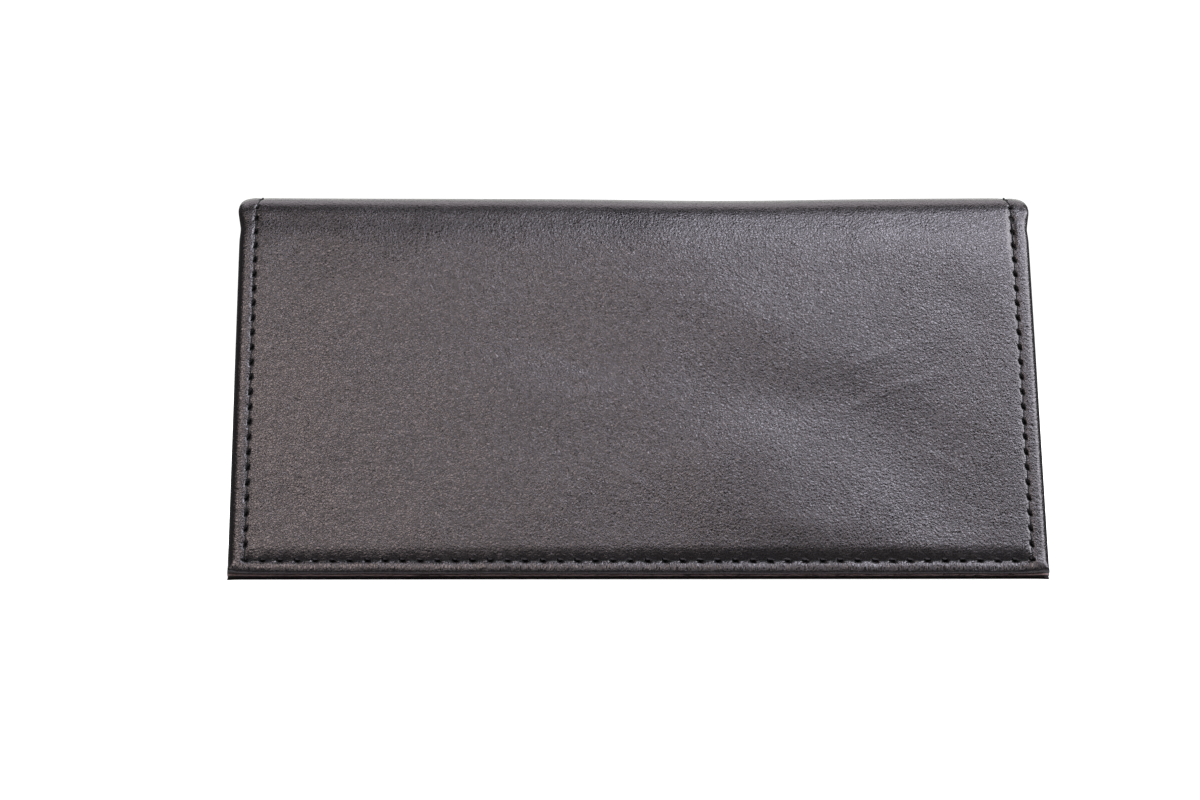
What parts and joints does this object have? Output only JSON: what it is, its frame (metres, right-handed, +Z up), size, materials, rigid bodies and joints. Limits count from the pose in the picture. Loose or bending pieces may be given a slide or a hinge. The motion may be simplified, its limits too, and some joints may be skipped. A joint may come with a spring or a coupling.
{
  "type": "checkbook cover",
  "caption": "Plain black leather bifold checkbook cover with turned and stitched edges, two inner pockets and a soft fold, standing open like a tent.",
  "frame": {"origin": "on the floor, at the middle of the ground between the bottom edges of the two panels", "axes": "+X along the fold, +Y to the rear, +Z up; the front panel faces -Y and up"},
  "size_m": [0.165, 0.102, 0.0772],
  "materials": {
    "cover_leather": "fine grain, satin",
    "pocket_leather": "fine grain, matt",
    "lining_cloth": "plain weave",
    "board": "matt",
    "thread": "waxed"
  },
  "bodies": {
    "rear_panel": {"rear_cover": "cover_leather", "rear_board": "board", "rear_lining": "lining_cloth", "rear_pocket": "pocket_leather", "rear_seam_thread": "thread", "rear_bobbin_thread": "thread"},
    "fold": {"fold_cover": "cover_leather", "fold_lining": "lining_cloth", "fold_seam_thread": "thread", "fold_bobbin_thread": "thread"},
    "front_panel": {"front_cover": "cover_leather", "front_board": "board", "front_lining": "lining_cloth", "front_pocket": "pocket_leather", "front_seam_thread": "thread", "front_bobbin_thread": "thread"}
  },
  "joints": [
    {"name": "rear_fold_hinge", "type": "hinge", "parent": "rear_panel", "child": "fold", "pos_m": [0, 0.00371, 0.07543], "axis": [-1, 0, 0], "range_deg": [-32, 58]},
    {"name": "front_fold_hinge", "type": "hinge", "parent": "fold", "child": "front_panel", "pos_m": [0, -0.00371, 0.07543], "axis": [-1, 0, 0], "range_deg": [-32, 58]}
  ],
  "couplings": [
    {"joint": "front_fold_hinge", "follows": "rear_fold_hinge", "ratio": 1}
  ]
}
